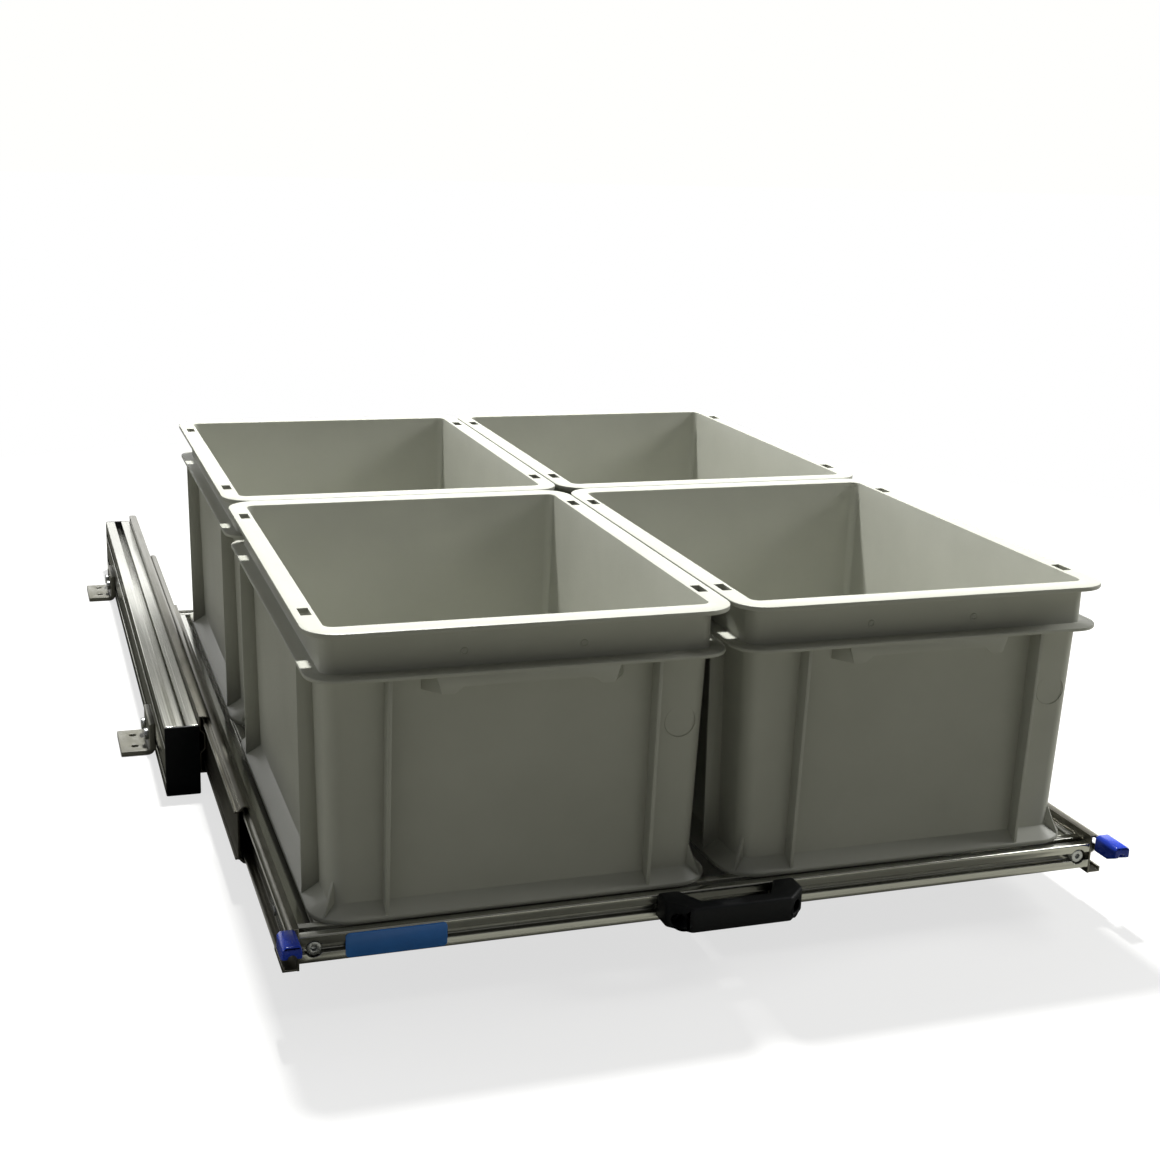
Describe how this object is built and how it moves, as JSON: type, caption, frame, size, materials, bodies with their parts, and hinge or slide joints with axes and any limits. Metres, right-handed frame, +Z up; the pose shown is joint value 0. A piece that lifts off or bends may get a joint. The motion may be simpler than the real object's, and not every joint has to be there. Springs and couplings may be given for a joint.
{
  "type": "sliding bin frame",
  "caption": "Pull-out drawer frame of slotted aluminium rails on full-extension ball slides between two fixed beams, carrying lift-out grey storage bins.",
  "frame": {"origin": "middle of the footprint, on the floor under the beams, with the drawer pulled out as pictured", "axes": "+X across the drawer to its right seen from the front, +Y to the back (the drawer pulls out along -Y), +Z up"},
  "size_m": [0.7742, 1.247, 0.266],
  "materials": {
    "aluminium_rail": "satin anodised",
    "black_plastic": "matte",
    "bracket_paint": "satin",
    "zinc_steel": "bright zinc plated",
    "ball_steel": "polished",
    "label_film": "satin",
    "blue_plastic": "gloss",
    "bin_plastic": "fine moulded grain"
  },
  "bodies": {
    "base": {"left_beam": "aluminium_rail", "right_beam": "aluminium_rail", "left_front_cap": "black_plastic", "left_rear_cap": "black_plastic", "right_front_cap": "black_plastic", "right_rear_cap": "black_plastic", "left_front_bracket": "bracket_paint", "left_rear_bracket": "bracket_paint", "right_front_bracket": "bracket_paint", "right_rear_bracket": "bracket_paint", "bracket_bolts": "zinc_steel", "bracket_nuts": "zinc_steel", "left_slide_outer": "zinc_steel", "right_slide_outer": "zinc_steel", "slide_outer_screws": "zinc_steel", "slide_outer_nuts": "zinc_steel"},
    "outer_cages": {"left_outer_cage": "zinc_steel", "right_outer_cage": "zinc_steel", "outer_balls": "ball_steel"},
    "slide_middles": {"left_slide_middle": "zinc_steel", "right_slide_middle": "zinc_steel"},
    "inner_cages": {"left_inner_cage": "zinc_steel", "right_inner_cage": "zinc_steel", "inner_balls": "ball_steel"},
    "drawer": {"left_slide_inner": "zinc_steel", "right_slide_inner": "zinc_steel", "slide_inner_screws": "zinc_steel", "slide_inner_nuts": "zinc_steel", "front_rail": "aluminium_rail", "rear_rail": "aluminium_rail", "left_side_rail": "aluminium_rail", "right_side_rail": "aluminium_rail", "cross_rail": "aluminium_rail", "corner_screws": "zinc_steel", "cross_rail_screws": "zinc_steel", "handle": "black_plastic", "handle_screws": "zinc_steel", "handle_nuts": "zinc_steel", "label_plate": "label_film", "lever_rivets": "zinc_steel"},
    "left_lever": {"left_lock_strip": "zinc_steel", "left_lever_grip": "blue_plastic"},
    "right_lever": {"right_lock_strip": "zinc_steel", "right_lever_grip": "blue_plastic"},
    "front_left_bin": {"front_left_bin": "bin_plastic"},
    "front_right_bin": {"front_right_bin": "bin_plastic"},
    "rear_left_bin": {"rear_left_bin": "bin_plastic"},
    "rear_right_bin": {"rear_right_bin": "bin_plastic"}
  },
  "joints": [
    {"name": "drawer_slide", "type": "slide", "parent": "base", "child": "drawer", "axis": [0, -1, 0], "range_m": [-0.412, 0.388]},
    {"name": "slide_middle_slide", "type": "slide", "parent": "base", "child": "slide_middles", "axis": [0, -1, 0], "range_m": [-0.206, 0.194]},
    {"name": "outer_cage_slide", "type": "slide", "parent": "base", "child": "outer_cages", "axis": [0, -1, 0], "range_m": [-0.103, 0.097]},
    {"name": "inner_cage_slide", "type": "slide", "parent": "base", "child": "inner_cages", "axis": [0, -1, 0], "range_m": [-0.309, 0.291]},
    {"name": "left_lever_tilt", "type": "hinge", "parent": "drawer", "child": "left_lever", "pos_m": [-0.3125, -0.5295, 0.049], "axis": [1, 0, 0], "range_deg": [0, 5], "stiffness_Nm_per_rad": 1.5, "springref_deg": -8.59},
    {"name": "right_lever_tilt", "type": "hinge", "parent": "drawer", "child": "right_lever", "pos_m": [0.3125, -0.5295, 0.049], "axis": [1, 0, 0], "range_deg": [0, 5], "stiffness_Nm_per_rad": 1.5, "springref_deg": -8.59},
    {"name": "front_left_bin_lift", "type": "slide", "parent": "drawer", "child": "front_left_bin", "axis": [0, 0, 1], "range_m": [0, 0.25]},
    {"name": "front_right_bin_lift", "type": "slide", "parent": "drawer", "child": "front_right_bin", "axis": [0, 0, 1], "range_m": [0, 0.25]},
    {"name": "rear_left_bin_lift", "type": "slide", "parent": "drawer", "child": "rear_left_bin", "axis": [0, 0, 1], "range_m": [0, 0.25]},
    {"name": "rear_right_bin_lift", "type": "slide", "parent": "drawer", "child": "rear_right_bin", "axis": [0, 0, 1], "range_m": [0, 0.25]}
  ],
  "couplings": [
    {"joint": "slide_middle_slide", "follows": "drawer_slide", "ratio": 0.5},
    {"joint": "outer_cage_slide", "follows": "drawer_slide", "ratio": 0.25},
    {"joint": "inner_cage_slide", "follows": "drawer_slide", "ratio": 0.75}
  ]
}
